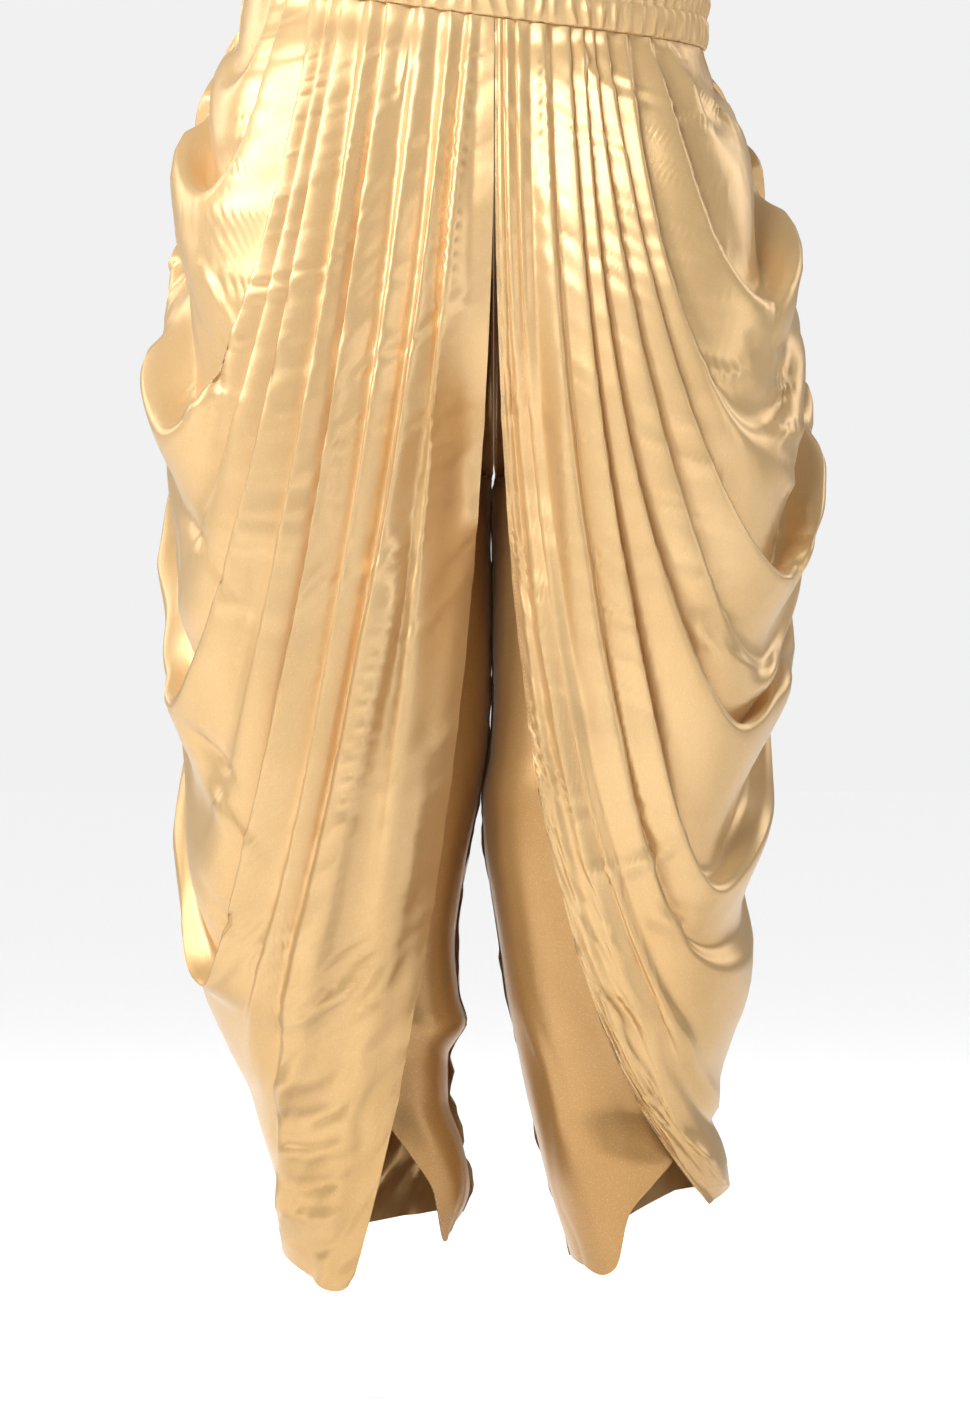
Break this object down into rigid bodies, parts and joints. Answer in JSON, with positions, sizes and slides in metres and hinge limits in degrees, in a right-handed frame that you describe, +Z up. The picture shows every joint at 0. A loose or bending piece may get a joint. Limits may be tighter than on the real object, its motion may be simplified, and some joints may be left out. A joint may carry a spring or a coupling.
{
  "type": "dhoti pants",
  "caption": "Draped dhoti pants with a ruched elastic waistband, wide pleated legs that fall in cowls at the outer sides, and tapered tulip hems.",
  "frame": {"origin": "centre of the waist opening, where the wearer's waist holds the garment", "axes": "+Z up, -Y the way the wearer faces, +X to the wearer's left"},
  "size_m": [0.5407, 0.3427, 1.082],
  "materials": {
    "satin": "soft champagne gold satin",
    "satin_band": "ruched champagne gold satin over elastic"
  },
  "bodies": {
    "root": {"waistband": "satin_band", "right_front_panel": "satin", "left_front_panel": "satin", "right_back_panel": "satin", "left_back_panel": "satin", "right_under_panel": "satin", "left_under_panel": "satin"}
  },
  "joints": []
}
